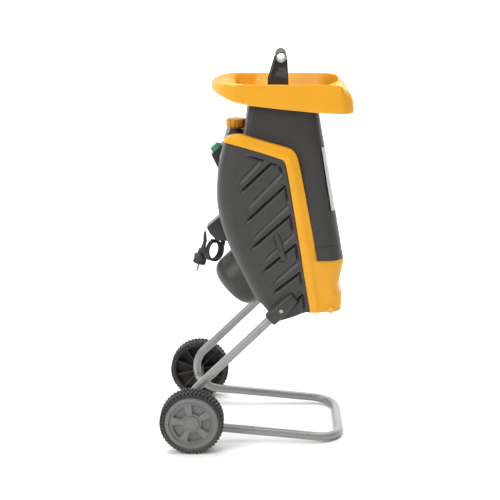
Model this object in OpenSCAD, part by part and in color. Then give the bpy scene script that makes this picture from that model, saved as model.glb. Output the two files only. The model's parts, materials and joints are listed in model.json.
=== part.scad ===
// Electric garden shredder on a wheeled tube frame.
// The hopper, tower, orange trim and feed chute form one assembly that tips forward about a
// hinge low at the front, when the locking knob at the back is loosened.
// +X is the front (discharge side), +Z is up, and the origin is on the floor under the middle.

/* [Frame] */
// Outside diameter of the frame tube
tube_d = 22; // [20:1:25]
// Wall thickness of the frame tube
tube_wall = 1.5; // [1:0.5:2.5]
// Distance between the centre lines of the two side tubes
frame_w = 290; // [280:2:300]
// Slope of the base towards the front, in degrees
base_slope = 5.3; // [4.5:0.1:6]
// Slope of the legs, in degrees
leg_slope = 44.4; // [44:0.1:45]
// Radius of the bends beside the wheels
bend_r = 64; // [62:1:66]
// Radius of the front corners of the base
corner_r = 62; // [50:1:70]

/* [Wheels] */
// Diameter over the tyre
wheel_d = 160; // [158:1:162]
// Width of the tyre
wheel_w = 49; // [44:1:52]
// Distance over the outside of both tyres
track_w = 460; // [456:1:466]
// Diameter of the grey wheel disc
disc_d = 134.6; // [130:0.2:138]
// Number of windows in the wheel disc
window_count = 5; // [4:1:6]

/* [Housing] */
// Width over both housing shells
housing_w = 290; // [286:1:292]
// Wall thickness of the mouldings
wall = 3; // [2.5:0.5:4]
// Gap between the fixed and the tipping assembly
split_gap = 0.5; // [0.4:0.1:1]

/* [Cutter] */
// Diameter of the cutting disc
cutter_d = 160; // [150:2:164]
// Thickness of the cutting disc
cutter_t = 8; // [6:1:10]
// Diameter of the motor shaft
shaft_d = 12; // [10:1:14]
// Outside diameter of the motor cover
cover_d = 144; // [138:1:146]

/* [Hopper] */
// Height of the rim over the floor
rim_z = 910; // [905:1:915]
// Width over the hopper
hopper_w = 280; // [270:2:290]
// Length of the feed mouth
mouth_l = 140; // [120:5:140]
// Width of the feed mouth
mouth_w = 92; // [80:2:96]
// Outside diameter of the handle bar
bar_d = 28; // [26:0.5:30]
// Length of the handle bar
bar_l = 124; // [118:2:130]

/* [Knob] */
// Diameter of the locking knob
knob_d = 50; // [44:1:52]
// Number of flutes around the knob
flute_count = 12; // [8:1:16]

/* [Lead] */
// Diameter of the lead
cord_d = 6; // [5.5:0.1:6.4]
// Radius of the hanging turns, to the middle of the lead
turn_r = 25; // [25:0.5:26]

/* [Hidden] */
$fn = 64;
tube_r = tube_d / 2;
side_y = frame_w / 2;
half_w = housing_w / 2;

// Frame
base_front_x = 215.4;
bend_x = -98.8;
bend_foot_x = bend_x - bend_r * sin(base_slope);
bend_c = [bend_x, tube_r + (base_front_x - bend_foot_x) * tan(base_slope) + bend_r * cos(base_slope)];
base_len = (base_front_x - bend_foot_x) / cos(base_slope);
leg_end = 332;
lap = 0.5;
// The tube draws in a little where it is bent
bend_thin = 0.1;
leg_foot = [bend_c[0] - bend_r * sin(leg_slope), bend_c[1] + bend_r * cos(leg_slope)];
socket_from = 252;
socket_r = 17;
leg_screw_at = 290;
leg_screw_r = 2.5;

// Wheels
wheel_r = wheel_d / 2;
disc_r = disc_d / 2;
wheel_x = -158.25;
wheel_in_y = track_w / 2 - wheel_w;
axle_r = 5;
hub_r = 13;
cap_r = 19;

// Side outline of the housing, in X and Z
housing_outline = [
    [-78, 771], [66, 729], [73, 714], [104, 530], [135.5, 343.5], [125, 346], [97, 334], [62, 323],
    [44, 322], [16, 356], [-2, 372], [-32, 429], [-62, 493], [-77, 532], [-92, 583], [-98, 633],
    [-93, 708]
];
// How far the rear edge is set in, against the distance from the middle plane
rear_rounding = [[half_w, 36], [half_w - 2, 26], [half_w - 9, 15], [half_w - 23, 5], [100, 0], [0, -4]];
platform_end_x = -28;
// Front opening of the housing, just inside the split line
front_opening = [
    [platform_end_x, 748], [60, 722], [67, 711], [98, 530], [128, 350], [150, 335], [150, 350],
    [115, 560], [82, 730], [70, 745], [platform_end_x, 780]
];
// Screws that hold the two housing shells together, in X and Z
housing_screw_at = [[-65, 705], [-78, 600], [-52, 520], [95, 392], [60, 345]];
screw_r = 2;
screw_head_y = half_w - 15;

// Trim: the two stripes and the skirt, in X and Z
trim_outline = [
    [-79, 771], [-72, 783], [-56, 789], [-31, 789], [-14, 782], [70, 759], [88, 753], [99, 741],
    [107, 716], [143, 529], [152.5, 476], [219.5, 476], [219, 467], [207, 407], [216.5, 386],
    [215, 343], [100, 343], [60, 700], [-78, 750]
];
skirt_top_z = 476;
skirt_cavity = [[50, 330], [212, 330], [213.5, 384], [204, 406], [215.5, 464], [216.3, 473], [50, 473]];
stripe_in_y = 116;

// Tower: each section is z, rear x, front x, half width, rear corner radius, front corner radius
plate_t = 0.2;
tower_sections = [
    [862, -20, 150.5, 112, 14, 26],
    [765, -33, 167.5, 122, 14, 28],
    [476, 60, 219, 143, 14, 38]
];
tower_top_z = tower_sections[0][0];
label_z = [590, 748];
label_from_x = 133;
label_depth = 1;

// Hinge between the housing and the tipping assembly
hinge = [187, 350];
hinge_pin_r = 3;
arm_y = [122, 130];

// Motor and cutter, along an axis parallel to the legs
cutter_c = [50, 482];
cutter_r = cutter_d / 2;
shaft_r = shaft_d / 2;
chamber_r = cutter_r + 4;
run_gap = 0.05;
chute_clear = 12;
chute_low_z = 455;
chute_low_l = 92;
chute_low_w = 80;

// Hopper side outline, in X and Z
hopper_outline = [
    [-112.5, 891], [-108, 903], [-95, rim_z - 1], [-80, rim_z], [190, rim_z], [206, 905],
    [220, 897], [230, 885], [235, 872], [238.2, 845], [236, 838.5], [206, 838.5], [155, 841],
    [-19, 859.5], [-61, 869.5], [-90, 882], [-105, 893]
];
floor_z = 866;
hopper_nose_x = -112.5;
hopper_front_x = 238.2;
hopper_r = 36;
mouth_x = 62;
bar_at = [61, 967];
bracket_y = [52, 62];

// Knob
knob_at = [-51, 0];
knob_seat_z = 783;
stud_r = 4;
niche_r = 26.4;
niche_h = 34;

// Switch box: its face is inclined
switch_face = [-98.7, 735.4];
switch_tilt = 43;
button_w = 22;
button_l = 23.6;

// Lead: route in X, Y and Z, from the strain relief to the plug
relief_at = [-85.4, 8, 498];
relief_l = 20;
turn_dir = 48;
turn_c = [relief_at[0] - turn_r * cos(turn_dir), relief_at[1] - turn_r * sin(turn_dir), 469];
turn_pitch = 7;
turn_steps = 16;
turn_count = 2.5;
function turn_point(a) = [
    turn_c[0] + turn_r * cos(a) * cos(turn_dir) - turn_pitch * a / 360 * sin(turn_dir),
    turn_c[1] + turn_r * cos(a) * sin(turn_dir) + turn_pitch * a / 360 * cos(turn_dir),
    turn_c[2] - turn_r * sin(a)
];
turns = [for (i = [0 : turn_count * turn_steps]) turn_point(360 * i / turn_steps)];
lead_in = [[-85.4, 8, 478], [-85.4, 8, 473.5]];
lead_out = [
    [-132, -17.8, 478], [-132, -18, 490], [-132, -14.8, 502], [-132, -6, 510.8], [-131.8, 6, 514],
    [-131.6, 18, 510.8], [-131.4, 26.8, 502], [-131.3, 30, 490]
];
cord_points = concat(lead_in, turns, lead_out);
plug_top = [-131.3, 30, 490];
plug_lean = 15.5;
pin_r = 2.4;
pin_root_r = 2.9;
pin_root_at = 54;
plug_face_at = 66;
pin_l = 19;
pin_spacing = 19;

// Helpers

// A prism between y0 and y1 whose outline is given in X and Z
module side_prism(outline, y0, y1) {
    translate([0, y1, 0]) rotate([90, 0, 0]) linear_extrude(y1 - y0) polygon(outline);
}

module side_cylinder(at, r, y0, y1) {
    translate([at[0], y1, at[1]]) rotate([90, 0, 0]) cylinder(r = r, h = y1 - y0);
}

module both_sides() {
    children();
    mirror([0, 1, 0]) children();
}

module ring(r_out, r_in, z0, z1) {
    difference() {
        translate([0, 0, z0]) cylinder(r = r_out, h = z1 - z0);
        translate([0, 0, z0 - 1]) cylinder(r = r_in, h = z1 - z0 + 2);
    }
}

// Local Z runs up the motor axis, from the middle of the cutting disc
module on_motor_axis() {
    translate([cutter_c[0], 0, cutter_c[1]]) rotate([0, 90 - leg_slope, 0]) children();
}

// Frame

module leg_axis() {
    translate([leg_foot[0], -side_y, leg_foot[1]]) rotate([0, 90 - leg_slope, 0]) children();
}

module tube_form(r) {
    both_sides() tube_side(r);
    translate([base_front_x, corner_r - side_y - lap, tube_r]) rotate([-90, 0, 0])
        cylinder(r = r, h = 2 * (side_y - corner_r + lap));
}

module tube_side(r) {
    leg_axis() translate([0, 0, -lap]) cylinder(r = r, h = leg_end + lap);
    translate([bend_c[0], -side_y, bend_c[1]]) rotate([90, 0, 0]) rotate([0, 0, 90 + leg_slope])
        rotate_extrude(angle = 180 - leg_slope - base_slope) translate([bend_r, 0]) circle(r - bend_thin);
    translate([base_front_x, 0, tube_r]) rotate([0, base_slope, 0]) {
        translate([-base_len - lap, -side_y, 0]) rotate([0, 90, 0])
            cylinder(r = r, h = base_len - corner_r + 2 * lap);
        translate([-corner_r, corner_r - side_y, 0]) rotate([0, 0, -90])
            rotate_extrude(angle = 90) translate([corner_r, 0]) circle(r - bend_thin);
    }
}

module frame_tube() {
    color("silver") difference() {
        tube_form(tube_r);
        tube_form(tube_r - tube_wall);
        both_sides() side_cylinder([wheel_x, wheel_r], axle_r, -side_y - 20, -side_y + 20);
        both_sides() leg_axis() translate([0, 0, leg_screw_at]) rotate([90, 0, 0])
            cylinder(r = leg_screw_r, h = 60, center = true);
    }
}

module axle_bolts() {
    color("dimgray") both_sides() {
        side_cylinder([wheel_x, wheel_r], axle_r, -track_w / 2 + 12, -124);
        side_cylinder([wheel_x, wheel_r], 8, -track_w / 2 + 7, -track_w / 2 + 12);
    }
}

module axle_nuts() {
    color("dimgray") both_sides() difference() {
        translate([wheel_x, -126, wheel_r]) rotate([90, 0, 0]) cylinder(r = 9, h = 8, $fn = 6);
        side_cylinder([wheel_x, wheel_r], axle_r, -140, -120);
    }
}

module leg_screws() {
    color("gray") both_sides() leg_axis() translate([0, 0, leg_screw_at]) rotate([90, 0, 0]) {
        translate([0, 0, -15]) cylinder(r = leg_screw_r, h = 15 + socket_r);
        translate([0, 0, socket_r]) cylinder(r = 4.5, h = 2.5);
    }
}

// Wheels: local Z points outwards from the inner face of the tyre

module at_right_wheel() {
    translate([wheel_x, -wheel_in_y, wheel_r]) rotate([90, 0, 0]) children();
}

module tyre() {
    rotate_extrude() polygon([
        [disc_r, 2], [wheel_r - 4, 0], [wheel_r, 4], [wheel_r, wheel_w - 4],
        [wheel_r - 4, wheel_w], [disc_r, wheel_w - 2]
    ]);
}

module wheel_disc() {
    difference() {
        union() {
            ring(disc_r, disc_r - 6, 3, wheel_w - 2.5);
            translate([0, 0, 34]) cylinder(r = disc_r - 3, h = 8);
            translate([0, 0, -22]) cylinder(r = hub_r, h = 60);
            translate([0, 0, 30]) cylinder(r = cap_r + 3, h = 14);
            for (i = [0 : window_count - 1]) rotate([0, 0, 360 / window_count * (i + 0.4)])
                translate([hub_r - 1, -2, 8]) cube([disc_r - hub_r - 4, 4, 28]);
        }
        translate([0, 0, -23]) cylinder(r = axle_r + run_gap, h = 80);
        translate([0, 0, 36.5]) cylinder(r = cap_r - 4, h = 20);
        for (i = [0 : window_count - 1]) rotate([0, 0, 360 / window_count * i - 7])
            translate([0, 0, 38]) intersection() {
                ring(48, 25, 0, 10);
                rotate([0, 0, -22]) cube([60, 60, 10]);
                rotate([0, 0, -68]) cube([60, 60, 10]);
            }
    }
}

module hub_cap() {
    translate([0, 0, 44]) cylinder(r = cap_r, h = 2.5);
    translate([0, 0, 46.5]) cylinder(r1 = cap_r, r2 = cap_r - 4, h = 1.5);
}

module right_tyre() { color([0.14, 0.14, 0.13]) at_right_wheel() tyre(); }
module right_wheel_disc() { color([0.56, 0.56, 0.55]) at_right_wheel() wheel_disc(); }
module right_hub_cap() { color([0.56, 0.56, 0.55]) at_right_wheel() hub_cap(); }
module left_tyre() { mirror([0, 1, 0]) right_tyre(); }
module left_wheel_disc() { mirror([0, 1, 0]) right_wheel_disc(); }
module left_hub_cap() { mirror([0, 1, 0]) right_hub_cap(); }

// Housing

// The closed outer form of the housing, moved inwards by g
module housing_form(g = 0) {
    hull() for (step = rear_rounding) for (side = [-1, 1])
        translate([0, side * max(0, step[0] - g), 0]) rotate([90, 0, 0])
            linear_extrude(0.2, center = true) offset(delta = -g) intersection() {
                polygon(housing_outline);
                translate([max(0, step[1]), 0]) polygon(housing_outline);
                translate([-200 + min(0, step[1]), 0]) square([600, 900]);
            }
}

// The -Y half of that form; the inner one runs past the middle plane by over
module half_form(g = 0, over = 0) {
    hull() for (step = rear_rounding) translate([0, step[1] < 0 ? over : g - step[0], 0]) rotate([90, 0, 0])
        linear_extrude(0.2) offset(delta = -g) intersection() {
            polygon(housing_outline);
            translate([max(0, step[1]), 0]) polygon(housing_outline);
        }
}

module screw_posts(r, y0, y1) {
    for (at = housing_screw_at) side_cylinder(at, r, y0, y1);
}

// The right shell is on the -Y side. The left one is its mirror image, but for the screws.
module housing_shell() {
    difference() {
        union() {
            difference() {
                half_form();
                half_form(wall, 1);
                side_prism(front_opening, wall - half_w, 5);
            }
            intersection() {
                screw_posts(6.5, -half_w + 1, 0);
                half_form(1);
            }
            leg_axis() translate([0, 0, socket_from]) cylinder(r = socket_r, h = leg_end + 4 - socket_from);
            translate([95, -half_w + 1, 347]) cube([32, half_w - 1 - arm_y[0], 14]);
            translate([120, -arm_y[1], 343]) cube([hinge[0] - 120, arm_y[1] - arm_y[0], 14]);
            side_cylinder(hinge, 7, -arm_y[1], -arm_y[0]);
        }
        on_motor_axis() translate([0, 0, -180]) cylinder(r = cover_d / 2 - wall, h = 165);
        leg_axis() translate([0, 0, socket_from - 1]) cylinder(r = tube_r, h = leg_end + 1 - socket_from);
        leg_axis() translate([0, 0, leg_screw_at]) rotate([90, 0, 0])
            cylinder(r = leg_screw_r, h = 60, center = true);
        side_cylinder(hinge, hinge_pin_r, -arm_y[1] - 1, -arm_y[0] + 1);
        translate([knob_at[0] - 6, -6, 700]) cube([60, 12, 100]);
        on_switch_face() for (y = [-13.5, 13.5]) button_block(y, -13, 10, 0.6);
    }
}

module right_housing_shell() {
    color([0.3, 0.3, 0.29]) difference() {
        housing_shell();
        screw_posts(screw_r, -half_w - 1, 1);
        screw_posts(5, -half_w - 1, -screw_head_y);
    }
}

module left_housing_shell() {
    color([0.3, 0.3, 0.29]) difference() {
        mirror([0, 1, 0]) housing_shell();
        screw_posts(screw_r, -1, 22);
    }
}

module housing_screws() {
    color("gray") for (at = housing_screw_at) {
        side_cylinder(at, screw_r, -screw_head_y, 20);
        side_cylinder(at, 4, -screw_head_y - 2.5, -screw_head_y);
    }
}

module motor_cover() {
    r = cover_d / 2;
    edge = 34;
    color([0.28, 0.28, 0.27]) difference() {
        on_motor_axis() rotate_extrude() difference() {
            union() {
                translate([0, -166 + edge]) square([r, 146]);
                translate([0, -166]) square([r - edge, 60]);
                translate([r - edge, -166 + edge]) circle(edge);
            }
            union() {
                translate([0, -166 + edge]) square([r - wall, 160]);
                translate([0, -166 + wall]) square([r - edge, 60]);
                translate([r - edge, -166 + edge]) circle(edge - wall);
            }
            translate([-200, -300]) square([200, 400]);
        }
        housing_form();
        on_motor_axis() for (i = [-3 : 3]) translate([8 * i - 2, -24, -170]) cube([4, 48, 12]);
    }
}

// Motor and cutter

module cutter_chamber() {
    color("dimgray") on_motor_axis() difference() {
        translate([0, 0, -20]) cylinder(r = chamber_r + 4, h = 26);
        translate([0, 0, -17]) cylinder(r = chamber_r, h = 30);
        translate([0, 0, -21]) cylinder(r = 20, h = 10);
        translate([45, -62, -17]) cube([60, 124, 40]);
    }
}

module motor_front_flange() {
    color("silver") on_motor_axis() difference() {
        translate([0, 0, -34]) cylinder(r = 66, h = 14);
        translate([0, 0, -35]) cylinder(r = 17.5, h = 12);
        translate([0, 0, -35]) cylinder(r = shaft_r + 2, h = 20);
    }
}

module motor_casing() { color("dimgray") on_motor_axis() ring(61, 58, -126, -34); }

module motor_rear_flange() {
    color("silver") on_motor_axis() difference() {
        translate([0, 0, -140]) cylinder(r = 61, h = 14);
        translate([0, 0, -137]) cylinder(r = 17.5, h = 12);
        translate([0, 0, -141]) cylinder(r = shaft_r + 2, h = 20);
    }
}

module stator_core() { color("gray") on_motor_axis() ring(58, 37, -110, -50); }

module stator_windings() {
    color("peru") on_motor_axis() {
        ring(54, 40, -50, -38);
        ring(54, 40, -122, -110);
    }
}

module bearing(z) { color("lightgray") on_motor_axis() ring(17.5, shaft_r + run_gap, z, z + 11); }
module front_bearing() { bearing(-34); }
module rear_bearing() { bearing(-137); }

module run_capacitor() { color("whitesmoke") translate([-49, 75, 560]) cylinder(r = 19, h = 75); }

module motor_shaft() { color("silver") on_motor_axis() translate([0, 0, -160]) cylinder(r = shaft_r, h = 164); }
module rotor_core() { color("gray") on_motor_axis() ring(36.4, shaft_r, -110, -50); }

module cooling_fan() {
    color("black") on_motor_axis() {
        ring(14, shaft_r, -157, -145);
        for (i = [0 : 7]) rotate([0, 0, 45 * i]) translate([13.5, -1.2, -157]) cube([27, 2.4, 12]);
    }
}

module cutting_disc() {
    color("silver") on_motor_axis() difference() {
        translate([0, 0, -cutter_t / 2]) cylinder(r = cutter_r, h = cutter_t);
        translate([0, 0, -cutter_t]) cylinder(r = shaft_r, h = 2 * cutter_t);
        for (i = [0, 180]) rotate([0, 0, i]) translate([22, 15, -cutter_t]) cube([52, 8, 2 * cutter_t]);
        knife_pattern(2.5, -cutter_t, 2 * cutter_t);
    }
}

// Two screw holes or screws in each of the two knives
module knife_pattern(r, z, h) {
    for (i = [0, 180]) rotate([0, 0, i]) for (x = [35, 61]) translate([x, 2, z]) cylinder(r = r, h = h);
}

module cutting_knives() {
    color("lightsteelblue") on_motor_axis() translate([0, 0, cutter_t / 2]) difference() {
        for (i = [0, 180]) rotate([0, 0, i]) translate([21, 0, 0]) rotate([90, 0, 90])
            linear_extrude(54) polygon([[-12, 0], [16, 0], [12, 4], [-12, 4]]);
        knife_pattern(2.5, -1, 10);
        knife_pattern(4.6, 2, 10);
    }
}

module knife_screws() {
    color("dimgray") on_motor_axis() {
        knife_pattern(2.5, -4, 11);
        knife_pattern(4.5, 6, 2);
    }
}

module disc_bolt() {
    color("dimgray") on_motor_axis() {
        translate([0, 0, 4]) cylinder(r = 13, h = 2);
        translate([0, 0, 6]) cylinder(r = 8, h = 5, $fn = 6);
    }
}

// Switches

module on_switch_face() {
    translate([switch_face[0], 0, switch_face[1]]) rotate([0, -switch_tilt, 0]) children();
}

module button_block(y, z0, z1, play = 0) {
    translate([-button_l / 2 - play, y - button_w / 2 - play, z0])
        cube([button_l + 2 * play, button_w + 2 * play, z1 - z0]);
}

module switch_box() {
    color([0.2, 0.2, 0.2]) difference() {
        side_prism([[-84, 749], [-112.5, 722.5], [-96, 688], [-80, 690]], -30, 30);
        housing_form();
        on_switch_face() for (y = [-13.5, 13.5]) button_block(y, -12, 10, 0.3);
    }
}

module start_button() { color([0.29, 0.55, 0.43]) on_switch_face() button_block(-13.5, -8, 12); }
module stop_button() { color([0.7, 0.12, 0.1]) on_switch_face() button_block(13.5, -8, 4); }

module interlock_switch() { color("black") translate([-66, 16, 724]) cube([28, 12, 22]); }

// Lead

module cord_inlet_box() {
    color([0.17, 0.17, 0.17]) difference() {
        side_prism([[-93, 562], [-126, 532.5], [-118, 517.5], [-101, 498], [-66, 498], [-60, 540]], -22, 22);
        housing_form();
    }
}

module cord_relief() {
    color([0.12, 0.12, 0.12]) translate([relief_at[0], relief_at[1], relief_at[2] - relief_l])
        cylinder(r1 = cord_d / 2 + 1.2, r2 = 7.5, h = relief_l);
}

cord_sides = 8;
function unit(v) = v / norm(v);
function cord_dir(i) = i == 0 ? [0, 0, -1]
    : i == len(cord_points) - 1 ? [-sin(plug_lean), 0, -cos(plug_lean)]
    : unit(cord_points[i + 1] - cord_points[i - 1]);
function cord_ring(i) = let (
    side = unit(cross(cord_dir(i), [-sin(turn_dir), cos(turn_dir), 0])), up = cross(side, cord_dir(i))
) [for (k = [0 : cord_sides - 1]) let (a = 360 * k / cord_sides)
    cord_points[i] + cord_d / 2 * (cos(a) * side + sin(a) * up)];

module power_cord() {
    n = len(cord_points);
    color([0.1, 0.1, 0.1]) polyhedron(
        points = [for (i = [0 : n - 1]) each cord_ring(i)],
        faces = concat(
            [[for (k = [0 : cord_sides - 1]) k]],
            [for (i = [0 : n - 2]) for (k = [0 : cord_sides - 1]) let (m = (k + 1) % cord_sides)
                [i * cord_sides + k, (i + 1) * cord_sides + k, i * cord_sides + m]],
            [for (i = [0 : n - 2]) for (k = [0 : cord_sides - 1]) let (m = (k + 1) % cord_sides)
                [(i + 1) * cord_sides + k, (i + 1) * cord_sides + m, i * cord_sides + m]],
            [[for (k = [cord_sides - 1 : -1 : 0]) (n - 1) * cord_sides + k]]
        )
    );
}

module cord_tie() {
    mid = turn_point(270);
    color([0.08, 0.08, 0.08]) translate(mid) rotate([0, 0, turn_dir]) difference() {
        translate([-3, -4.5, -4.2]) cube([6, 16, 8.4]);
        translate([-4, -3.3, -3.1]) cube([8, 13.6, 6.2]);
    }
}

module on_plug() { translate(plug_top) rotate([0, 180 + plug_lean, 0]) children(); }

module plug_body() {
    color([0.15, 0.15, 0.15]) on_plug() difference() {
        union() {
            cylinder(r1 = 4.2, r2 = 6.5, h = 26);
            translate([0, 0, 26]) cylinder(r1 = 10, r2 = 11.5, h = 14);
            translate([0, 0, 40]) cylinder(r = 18.5, h = 26);
        }
        for (s = [-1, 1]) translate([0, s * pin_spacing / 2, pin_root_at]) cylinder(r = pin_root_r, h = 20);
    }
}

module plug_pins() {
    color("silver") on_plug() for (s = [-1, 1]) translate([0, s * pin_spacing / 2, 0]) {
        translate([0, 0, pin_root_at]) cylinder(r = pin_root_r, h = plug_face_at - pin_root_at);
        translate([0, 0, plug_face_at]) cylinder(r = pin_r, h = pin_l);
    }
}

// Tipping assembly

module hinge_pins() {
    color("silver") both_sides() side_cylinder(hinge, hinge_pin_r, -141, -arm_y[0] + 2);
}

// Outline in plan with rounded corners, moved inwards by g
module trim_plan(g = 0) {
    hw = half_w - g;
    rf = 38 - g;
    rr = 36 - g;
    x0 = -79 + g;
    x1 = 219.5 - g;
    translate([x0 + rr, -hw]) square([x1 - rf - x0 - rr, 2 * hw]);
    translate([x0, -hw + rr]) square([rr, 2 * (hw - rr)]);
    translate([x1 - rf, -hw + rf]) square([rf, 2 * (hw - rf)]);
    for (s = [-1, 1]) {
        translate([x0 + rr, s * (hw - rr)]) circle(rr);
        translate([x1 - rf, s * (hw - rf)]) circle(rf);
    }
}

// What lies under the split line, with the gap
module below_split(y0, y1) {
    translate([split_gap, 0, split_gap * 0.6]) {
        side_prism(housing_outline, y0, y1);
        side_prism([[-90, 600], [100, 600], [66, 729], [-78, 771], [-90, 774.5]], y0, y1);
        side_prism([[90, 330], [135.7, 330], [135.7, 343.5], [125.5, 347], [90, 347]], y0, y1);
    }
}

module front_trim() {
    color([0.95, 0.68, 0.12]) difference() {
        union() {
            difference() {
                intersection() {
                    side_prism(trim_outline, -half_w, half_w);
                    translate([0, 0, 300]) linear_extrude(520) trim_plan();
                }
                intersection() {
                    side_prism(skirt_cavity, -half_w, half_w);
                    translate([0, 0, 300]) linear_extrude(200) trim_plan(wall);
                }
                translate([-100, -stripe_in_y, skirt_top_z - wall - 1]) cube([400, 2 * stripe_in_y, 400]);
            }
            both_sides() side_cylinder(hinge, 7, -half_w + 1, -arm_y[1] - 0.5);
        }
        below_split(-200, 200);
        both_sides() side_cylinder(hinge, hinge_pin_r + run_gap, -141.5, 0);
    }
}

// A rounded plate of the tower's outline at one height, moved inwards by g
module tower_plate(s, g, lift = 0) {
    for (side = [-1, 1]) {
        translate([s[1] + s[4], side * (s[3] - s[4]), s[0] + lift])
            cylinder(r = s[4] - g, h = plate_t, center = true, $fn = 32);
        translate([s[2] - s[5], side * (s[3] - s[5]), s[0] + lift])
            cylinder(r = s[5] - g, h = plate_t, center = true, $fn = 32);
    }
}

// The closed outer form of the tower, moved inwards by g, its top raised by lift
module tower_form(g = 0, lift = 0) {
    hull() {
        tower_plate(tower_sections[0], g, lift - plate_t / 2);
        tower_plate(tower_sections[1], g);
        tower_plate(tower_sections[2], g);
    }
}

module hopper_screw_places() {
    for (x = [6, 120]) for (side = [-1, 1]) translate([x, side * 102.5, 0]) children();
}

module tower_shell() {
    color([0.33, 0.33, 0.32]) difference() {
        union() {
            difference() {
                tower_form();
                tower_form(wall, 5);
                both_sides() side_prism(trim_outline, -200, -stripe_in_y + 0.4);
                translate([-100, -200, 400]) cube([400, 400, skirt_top_z + 0.4 - 400]);
            }
            side_prism([[-76, 771], [-30, 757.5], [-30, 764], [-76, 777]], -stripe_in_y + 0.4, stripe_in_y - 0.4);
            translate([knob_at[0], knob_at[1], 762]) cylinder(r = 17, h = knob_seat_z - 762);
            hopper_screw_places() translate([0, 0, 838]) cylinder(r = 9.5, h = tower_top_z - 838);
            intersection() {
                tower_form();
                translate([knob_at[0], knob_at[1], knob_seat_z - 3]) cylinder(r = niche_r + wall, h = niche_h + 3 + wall);
            }
        }
        translate([knob_at[0], knob_at[1], knob_seat_z]) cylinder(r = niche_r, h = niche_h);
        below_split(-200, 200);
        translate([knob_at[0], knob_at[1], 740]) cylinder(r = stud_r + 0.5, h = 60);
        hopper_screw_places() translate([0, 0, 842]) cylinder(r = screw_r, h = 40);
        label_skin(1, 0.3);
    }
}

// A skin on the front of the tower, standing proud of it by rise
module label_skin(rise, play = 0) {
    intersection() {
        difference() {
            tower_form(-rise);
            tower_form(label_depth);
        }
        translate([label_from_x, -150, label_z[0] - play])
            cube([80, 300, label_z[1] - label_z[0] + 2 * play]);
    }
}

module label_plate() { color([0.78, 0.78, 0.78]) label_skin(0.2); }

// The chute narrows downwards; its bore runs past both ends by over
module chute_form(g, over = 0) {
    top_z = floor_z - 4;
    hull() {
        translate([mouth_x - mouth_l / 2 - g, -mouth_w / 2 - g, top_z - 1])
            cube([mouth_l + 2 * g, mouth_w + 2 * g, 1 + over]);
        translate([mouth_x - mouth_l / 2 - g, -chute_low_w / 2 - g, chute_low_z - over])
            cube([chute_low_l + 2 * g, chute_low_w + 2 * g, 1]);
    }
}

module feed_chute() {
    color([0.25, 0.25, 0.25]) difference() {
        chute_form(wall);
        chute_form(0, 1);
        on_motor_axis() translate([0, 0, -150]) cylinder(r = 150, h = 150 + chute_clear);
    }
}

module counter_blade() {
    color("lightsteelblue") on_motor_axis() translate([38, -38, chute_clear - 3]) cube([16, 76, 3]);
}

module hopper_plan(g = 0) {
    hw = hopper_w / 2 - g;
    x_mid = -48;
    nose = x_mid - hopper_nose_x - g;
    r = hopper_r - g;
    x1 = hopper_front_x - g;
    translate([x_mid, -hw]) square([x1 - r - x_mid, 2 * hw]);
    translate([x_mid, -hw + r]) square([x1 - x_mid, 2 * (hw - r)]);
    for (s = [-1, 1]) translate([x1 - r, s * (hw - r)]) circle(r);
    polygon([for (a = [90 : 7.5 : 270]) [x_mid + nose * cos(a), hw * sin(a)]]);
}

module hopper() {
    color([0.95, 0.68, 0.12]) difference() {
        intersection() {
            side_prism(hopper_outline, -hopper_w / 2, hopper_w / 2);
            translate([0, 0, 800]) linear_extrude(150) hopper_plan();
        }
        intersection() {
            side_prism([
                [-120, 906], [-100, 902], [-35, floor_z + 2], [-25, floor_z], [160, floor_z],
                [212, 876], [226, 884], [240, 930], [-120, 930]
            ], -hopper_w / 2, hopper_w / 2);
            translate([0, 0, 800]) linear_extrude(150) hopper_plan(4);
        }
        intersection() {
            side_prism([
                [-103, 894], [-35, floor_z - 4], [160, floor_z - 4], [212, 871], [240, 878],
                [240, 800], [-103, 800]
            ], -hopper_w / 2, hopper_w / 2);
            translate([0, 0, 790]) linear_extrude(150) hopper_plan(4);
        }
        translate([mouth_x - mouth_l / 2, -mouth_w / 2, 840]) cube([mouth_l, mouth_w, 40]);
        hopper_screw_places() translate([0, 0, 842]) cylinder(r = screw_r, h = 40);
    }
}

module hopper_screws() {
    color("gray") hopper_screw_places() {
        translate([0, 0, 846]) cylinder(r = screw_r, h = floor_z - 846);
        translate([0, 0, floor_z]) cylinder(r = 4, h = 2.5);
    }
}

module handle_bar() {
    color([0.45, 0.45, 0.45]) difference() {
        side_cylinder(bar_at, bar_d / 2, -bar_l / 2, bar_l / 2);
        side_cylinder(bar_at, bar_d / 2 - 3.5, -bar_l, bar_l);
    }
}

module right_handle_bracket() {
    color([0.13, 0.13, 0.13]) difference() {
        side_prism([
            [28, floor_z], [80, floor_z], [79.5, 906], [77, 962], [45.5, 962], [33, 920], [28.5, 906]
        ], -bracket_y[1], -bracket_y[0]);
        side_cylinder(bar_at, bar_d / 2, -100, 0);
    }
}

module left_handle_bracket() { mirror([0, 1, 0]) right_handle_bracket(); }

// Knob

module knob_washer() {
    color("lightgray") translate([knob_at[0], knob_at[1], 0]) ring(11, stud_r + 0.4, knob_seat_z + 0.3, knob_seat_z + 1.8);
}

module locking_knob() {
    color([0.8, 0.5, 0.1]) translate([knob_at[0], knob_at[1], knob_seat_z + 2.1]) difference() {
        union() {
            cylinder(r = knob_d / 2, h = 21);
            translate([0, 0, 21]) cylinder(r1 = knob_d / 2, r2 = knob_d / 2 - 4, h = 4);
        }
        translate([0, 0, -1]) cylinder(r = stud_r, h = 16);
        for (i = [0 : flute_count - 1]) rotate([0, 0, 360 / flute_count * i])
            translate([knob_d / 2 + 2, 0, -1]) cylinder(r = 3.5, h = 30);
    }
}

module knob_stud() {
    color("silver") translate([knob_at[0], knob_at[1], 746]) cylinder(r = stud_r, h = knob_seat_z + 17 - 746);
}

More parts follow.
